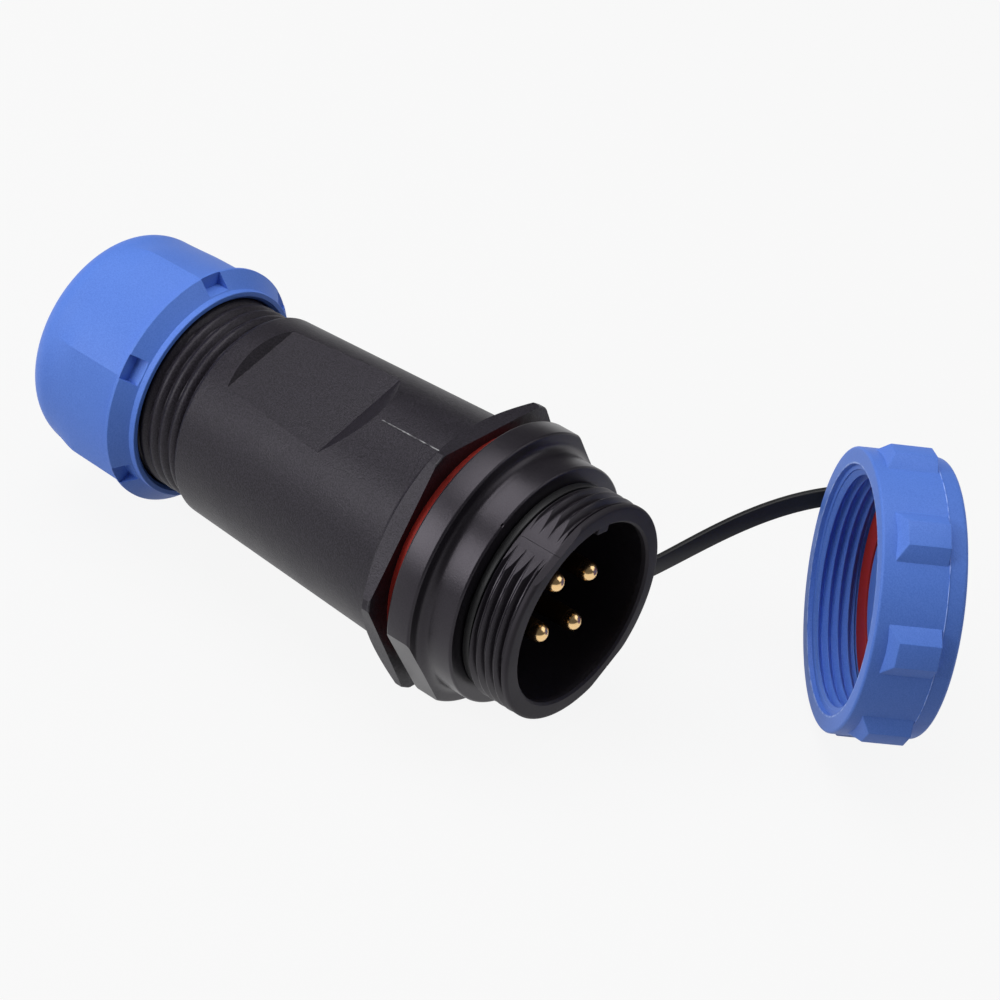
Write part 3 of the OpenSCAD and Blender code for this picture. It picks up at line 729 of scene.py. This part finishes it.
def gland_nut():
    """Blue gland nut: lip, coned collar with grip notches, bowed faces, corners that run out."""
    corner, face, wall, end_r = 18.9, 17.8, 18.6, 17.75
    collar, lip, bore, cable_r = 19.2, 16.9, 15.65, 9.2
    cone_x, collar_x, collar_rear = NUT_X - 1.0, NUT_X - 3.2, NUT_X - 3.7
    step_x, step_r, entry_x = -85.2, 13.4, NUT_END + 3.0
    end_round = 5.0
    round_x = NUT_END + end_round
    face_turn, notch_turn = 28, 33
    draft, draft_x = 0.018, -83.5
    run_out_x, run_out = -83.0, 6.5

    def drop(x):
        """How far the rounded end has fallen from the wall at a station."""
        s = min(1, max(0, (round_x - x) / end_round))
        return end_round * (1 - math.sqrt(1 - s * s))

    front = [
        (NUT_X, bore + 0.5, 0.1),
        (NUT_X, lip, 0.15),
        (cone_x, lip, 0.1),
        (collar_x, collar, 0.12),
        (collar_rear, collar, 0.12),
        (collar_rear - 0.05, wall),
    ]
    stations = [x for x, r in rows(collar_rear - 0.1, round_x, wall, step=0.5)]
    arc = 24
    stations += [round_x - end_round * math.sin(math.pi / 2 * i / arc) for i in range(1, arc + 1)]
    outside = [(x, wall - drop(x)) for x in stations]
    inside = [
        (NUT_END, cable_r, 0.5),
        (entry_x, cable_r),
        (step_x, step_r),
        (step_x, bore),
        (NUT_X - 0.5, bore, 0.1),
    ]
    section = soften(front + outside + inside, steps=6)
    ob = turned("gland_nut_body", section, steps=360, start=face_turn)
    half = math.radians(30)
    shift = (corner ** 2 - face ** 2) / (2 * (face - corner * math.cos(half)))
    for v in ob.data.vertices:
        x = v.co.x / MM
        if x > collar_rear - 0.03 or abs(radius_of(v) - wall + drop(x)) > 0.01:
            continue
        a = (math.atan2(v.co.z, -v.co.y) - math.radians(face_turn)) % math.radians(60) - half
        bowed = math.sqrt((face + shift) ** 2 - (shift * math.sin(a)) ** 2) - shift * math.cos(a)
        bowed += draft * (x - draft_x)
        ease = eased((run_out_x - x) / run_out)
        set_radius(v, bowed * (1 - ease) + end_r * ease - drop(x))
    notch_half, notch_r, notch_rear = 1.95, lip + 0.12, collar_x - 0.12
    for k in range(6):
        notch = block("notch", (notch_rear, -CLEAR_R, -notch_half), (NUT_X + 1, -notch_r, notch_half))
        combine(ob, turn_to(notch, notch_turn + 60 * k), "DIFFERENCE")
    return finish_piece(ob, "gland_nut", BLUE_NYLON, ["gland_nut"], MOULDED_SHARP)


def dust_cap():
    """Blue dust cap: inner thread, ribs with sloped ends, flash line, stud on the back."""
    outer, lip, bore, back, back_r = 20.5, 18.25, 17.3, -12.4, 20.1
    floor_x, seat_x, seat_r = -7.4, -8.7, 12.2
    flash, flash_tall = -9.5, 0.07
    neck_r, head_r, head_end_r, neck_long, stud_long = 2.9, 4.3, 3.9, 1.5, 2.5
    thread_x, thread_rear = -0.8, -7.1
    outside = [
        (0, lip - 0.25, 0.08),
        (0, lip),
        (0, outer, 0.4),
        (flash, outer),
        (flash - 0.03, outer + flash_tall),
        (flash - 0.1, outer + flash_tall),
        (flash - 0.13, outer - 0.02),
        (back, back_r, 0.8),
    ]
    stud = [
        (back, neck_r),
        (back - neck_long, neck_r),
        (back - neck_long, head_r, 0.3),
        (back - stud_long, head_end_r, 0.4),
        (back - stud_long, 0.0),
    ]
    inside = [
        (floor_x, 0.0),
        (floor_x, seat_r, 0.2),
        (seat_x, seat_r),
        (seat_x, bore),
    ]
    thread = rows(seat_x + 0.5, thread_x, bore, step=0.1) + [(thread_x + 0.1, bore + 0.6)]
    ob = turned("dust_cap_body", soften(outside + stud + inside + thread, steps=8), steps=288)
    cut_thread(
        ob,
        front=thread_x,
        rear=thread_rear,
        root=bore,
        height=0.75,
        pitch=FINE_PITCH,
        shape=sharp_tooth,
        fade=0.4,
        inward=True,
    )
    foot, top, tall, sunk = 7.4, 3.6, 1.5, 2.0
    rib_x, rib_rear, rib_turn, end_slope = -2.1, -9.35, 30.4, 0.8
    rib_middle = (rib_x + rib_rear) / 2
    flare = (foot - top) / 2 / (outer + tall - math.sqrt(outer ** 2 - (foot / 2) ** 2))
    for k in range(8):
        # Drawn 1 mm to each side, then flared towards its foot and sloped at its front end
        rib = block("rib", (rib_rear, -outer - tall, -1), (rib_x, sunk - outer, 1))
        for v in rib.data.vertices:
            deep = v.co.y / MM + outer + tall
            v.co.z *= top / 2 + flare * deep
            if v.co.x > rib_middle * MM:
                v.co.x += (deep - tall) * end_slope * MM
        round_edges(rib, radius=0.14, segments=2)
        combine(ob, turn_to(rib, rib_turn + 45 * k), "UNION")
    put(ob, CAP_MATRIX)
    home = CAP_MATRIX.inverted()

    def rubbed_and_glinting(middle):
        """The flash line is rubbed pale, and the inner edge of the lip gets a painted highlight."""
        x, y, z = home @ (middle * MM) / MM
        r = math.hypot(y, z)
        if abs(x - flash + 0.06) < 0.1 and outer - 0.01 < r < outer + 0.2:
            return 1.0
        # The lip's inner edge: a painted highlight
        if x > -0.12 and lip - 0.35 < r < lip - 0.01:
            return 0.8
        return 0.0

    return finish_piece(
        ob, "cap", BLUE_NYLON, ["dust_cap"], MOULDED_SHARP, rubbed_and_glinting
    )


def contact_pins():
    """Four gold-plated pins with domed tips, turned once and copied."""
    pin_r, tip, insert_face, stem_r = 1.5, -0.6, -11.7, 1.8
    collar_x, collar_rear, collar_r = -20.6, -23.1, 3.0
    barrel_r, barrel_end, wire_r, wire_end = 2.6, -36.6, 1.6, -28.6
    circle_r, first_turn, dome_steps = 5.7, 60, 12
    dome = []
    for i in range(dome_steps + 1):
        t = math.pi / 2 * i / dome_steps
        dome.append(Vector((tip - pin_r + pin_r * math.cos(t), pin_r * math.sin(t))))
    stem = [
        (insert_face, pin_r),
        (insert_face, stem_r, 0.1),
        (collar_x, stem_r),
        (collar_x, collar_r, 0.15),
        (collar_rear, collar_r, 0.15),
        (collar_rear, barrel_r),
        (barrel_end, barrel_r, 0.2),
        (barrel_end, wire_r),
        (wire_end, wire_r),
        (wire_end, 0.0),
    ]
    first = turned("contact_pin_a", dome + soften(stem), steps=48)
    # Three copies, and the turned pin itself as the last
    for i, letter in enumerate("abcd"):
        pin = first
        if i < 3:
            pin = first.copy()
            pin.data = first.data.copy()
            bpy.context.collection.objects.link(pin)
        pin.name = pin.data.name = "gold_pin_" + letter
        put(pin, Matrix.Translation(round_the_axis(circle_r, first_turn + 90 * i)))
        finish_piece(pin, "connector", GOLD_PLATE, [f"contact_pin_{i + 1}"])


# Ways that the dust cap's mouth and side face, and ways off the strap's ring and across its end
CAP_OUT = (CAP_MATRIX.to_3x3() @ Vector((1, 0, 0))).normalized()
CAP_SIDE = (CAP_MATRIX.to_3x3() @ Vector((0, 1, 0))).normalized()
LEAVE_TURN = math.radians(25)
RING_LEAVE = Vector((0, math.cos(LEAVE_TURN), -math.sin(LEAVE_TURN)))
RING_ACROSS = Vector((0, math.sin(LEAVE_TURN), math.cos(LEAVE_TURN)))


def strap_route():
    """Middle line of the band from the eye to the ring, each point with its share of the twist."""
    eye_x, eye_start, bend_r, side = EYE_X * MM, 4.5 * MM, 5 * MM, 24.5 * MM
    ring_r, ring_pull, cap_pull, cap_dip = 16.15, 17.3, 18.4, 1.6
    bend_x = eye_x + bend_r
    ring_end = Vector((RING_X * MM, 0, 0)) + RING_LEAVE * ring_r * MM
    bend_end = CAP_PLACE + CAP_OUT * bend_x - CAP_SIDE * side
    cap_lead = bend_end + (CAP_OUT * cap_pull - Vector((0, 0, cap_dip))) * MM
    ring_lead = ring_end + RING_LEAVE * ring_pull * MM
    route = [(CAP_PLACE + CAP_OUT * eye_x - CAP_SIDE * eye_start, 0.0)]
    bend_steps, sweep_steps = 16, 56
    for i in range(bend_steps + 1):
        t = math.pi / 2 * i / bend_steps
        out = bend_x - bend_r * math.cos(t)
        aside = side - bend_r + bend_r * math.sin(t)
        route.append((CAP_PLACE + CAP_OUT * out - CAP_SIDE * aside, 0.0))
    for i in range(1, sweep_steps + 1):
        t = i / sweep_steps
        near_cap = (1 - t) ** 3 * bend_end + 3 * (1 - t) ** 2 * t * cap_lead
        near_ring = 3 * (1 - t) * t * t * ring_lead + t ** 3 * ring_end
        route.append((near_cap + near_ring, t))
    return route


def band_outline():
    """Points round the band's section, across its width and its thickness, with rounded corners."""
    corner, half_wide, half_thick = 0.22, 1.5, 0.5
    outline = []
    for quarter, (sx, sy) in enumerate(((1, 1), (-1, 1), (-1, -1), (1, -1))):
        for k in range(4):
            t = math.pi / 2 * (quarter + k / 3)
            wide = sx * (half_wide - corner) + corner * math.cos(t)
            thick = sy * (half_thick - corner) + corner * math.sin(t)
            outline.append((wide, thick))
    return outline


def strap_band():
    """Flat band, extruded point by point along its route and then twisted to face the ring."""
    outline = band_outline()
    count = len(outline)
    route = strap_route()
    points = [here for here, twist in route]
    bpy.ops.object.select_all(action="DESELECT")
    bpy.ops.mesh.primitive_circle_add(vertices=count, radius=MM, fill_type="NGON")
    ob = just_added("strap_body")
    edit(ob)
    for before, after in zip(points, points[1:]):
        bpy.ops.mesh.extrude_region_move(TRANSFORM_OT_translate={"value": after - before})
    leave_edit()
    # Each extruded point takes its place on the outline from the point that it came from
    place = {k: k for k in range(count)}
    for a, b in sorted(sorted(e.vertices) for e in ob.data.edges):
        if a // count != b // count:
            place[b] = place[a]
    cap_across = CAP_OUT.cross(CAP_SIDE)
    for i, (here, twist) in enumerate(route):
        ahead = (points[min(i + 1, len(points) - 1)] - points[max(i - 1, 0)]).normalized()
        aim = cap_across * (1 - twist) + RING_ACROSS * twist
        across = (aim - ahead * aim.dot(ahead)).normalized()
        out = ahead.cross(across)
        for v in ob.data.vertices[i * count:(i + 1) * count]:
            wide, thick = outline[place[v.index]]
            v.co = here + across * wide * MM + out * thick * MM
    edit(ob)
    bpy.ops.mesh.normals_make_consistent(inside=False)
    leave_edit()
    return ob


def flat_ring(name, middle, inner, outer, inner_edge, outer_edge, steps):
    """Flat ring of the strap about the axis, with rounded edges."""
    half_thick = 0.6
    section = [
        (middle + half_thick, inner, inner_edge),
        (middle + half_thick, outer, outer_edge),
        (middle - half_thick, outer, outer_edge),
        (middle - half_thick, inner, inner_edge),
    ]
    return turned(name, soften(section), steps)


def strap():
    """Black moulded strap: ring in the groove, flat band round the cap's edge, eye on the cap's stud."""
    ob = strap_band()
    ring = flat_ring(
        "strap_ring", RING_X, inner=15.9, outer=16.3, inner_edge=0.1, outer_edge=0.15, steps=160
    )
    combine(ob, ring, "UNION")
    eye = flat_ring(
        "strap_eye", EYE_X, inner=3.2, outer=5.8, inner_edge=0.2, outer_edge=0.3, steps=72
    )
    combine(ob, put(eye, CAP_MATRIX), "UNION")
    return finish_piece(ob, "strap", STRAP_BLACK, ["cap_strap"])


receptacle()
back_shell()
gland_nut()
dust_cap()
contact_pins()
strap()

# Pieces that show their CAD shape and only get a finish
CAD_FINISH = {
    "contact_insert": INSERT_BLACK,
    "contact_retainer": INSERT_BLACK,
    "insert_lock_ring": INSERT_BLACK,
    "clamp_cage": INSERT_BLACK,
    "contact_seals": SEAL_BLACK,
    "insert_seal": SEAL_BLACK,
    "cable_seal": SEAL_BLACK,
    "flange_seal": RED_SILICONE,
    "cap_gasket": RED_SILICONE,
    "terminal_screws": SCREW_STEEL,
}
for name, material in CAD_FINISH.items():
    nodes[name].data.materials.clear()
    nodes[name].data.materials.append(material)


def pale_floor(level):
    """Large pale floor that shows near white to the camera and keeps the object's soft shadow."""
    bpy.ops.object.select_all(action="DESELECT")
    bpy.ops.mesh.primitive_plane_add(size=60, location=(0, 0, level))
    floor = just_added("floor")
    mat, tree, shader = new_material("pale_floor")
    shader.inputs["Base Color"].default_value = (0.42, 0.42, 0.42, 1)
    shader.inputs["Roughness"].default_value = 0.9
    shader.inputs["Specular IOR Level"].default_value = 0.1
    glow = add(tree, "ShaderNodeEmission")
    glow.inputs["Color"].default_value = (1, 1, 1, 1)
    path = add(tree, "ShaderNodeLightPath")
    mirrored = maths(tree, "MAXIMUM", path.outputs["Is Glossy Ray"], path.outputs["Is Transmission Ray"])
    seen = maths(tree, "MAXIMUM", path.outputs["Is Camera Ray"], mirrored)
    both = add(tree, "ShaderNodeMixShader")
    whiteness = 0.9
    tree.links.new(maths(tree, "MULTIPLY", seen, whiteness), both.inputs[0])
    tree.links.new(shader.outputs[0], both.inputs[1])
    tree.links.new(glow.outputs[0], both.inputs[2])
    tree.links.new(both.outputs[0], tree.nodes["Material Output"].inputs["Surface"])
    floor.data.materials.append(mat)


def soft_lamp(name, place, aim, size, power):
    """Square soft lamp that points at the object."""
    bpy.ops.object.light_add(type="AREA", location=place)
    lamp = bpy.context.object
    lamp.name = name
    lamp.data.shape = "SQUARE"
    lamp.data.size = size
    lamp.data.energy = power
    lamp.rotation_euler = (Vector(aim) - Vector(place)).to_track_quat("-Z", "Y").to_euler()


def studio():
    """Faint white world and three soft lamps."""
    world = bpy.data.worlds.new("studio")
    world.use_nodes = True
    backdrop = world.node_tree.nodes["Background"]
    backdrop.inputs["Color"].default_value = (1, 1, 1, 1)
    backdrop.inputs["Strength"].default_value = 0.12
    bpy.context.scene.world = world
    bpy.context.scene.view_settings.view_transform = "Standard"
    middle = (-0.02, 0.01, 0)
    soft_lamp("top", (-0.2, 0.02, 0.78), middle, size=0.6, power=4.2)
    soft_lamp("left", (-0.39, -0.577, 0.36), middle, size=0.45, power=3.6)
    soft_lamp("right", (0.47, 0.4, 0.5), middle, size=0.6, power=1.5)


def photo_camera():
    """Camera fitted to the photo, by its place and the ways that its right, up and back face."""
    place = Vector((0.18375, -0.27616, 0.25269))
    right = Vector((0.7606, 0.6406, 0.1060))
    up = Vector((-0.4416, 0.3907, 0.8077))
    back = Vector((0.4759, -0.6611, 0.5800))
    camera = bpy.data.objects.new("camera", bpy.data.cameras.new("camera"))
    bpy.context.scene.collection.objects.link(camera)
    turn = Matrix((right, up, back)).transposed()
    camera.matrix_world = Matrix.Translation(place) @ turn.to_4x4()
    camera.data.lens = 107.7
    camera.data.sensor_width = 36
    camera.data.clip_start = 0.01
    camera.data.clip_end = 20
    bpy.context.scene.camera = camera


pale_floor(-FLANGE_R * MM)
studio()
photo_camera()
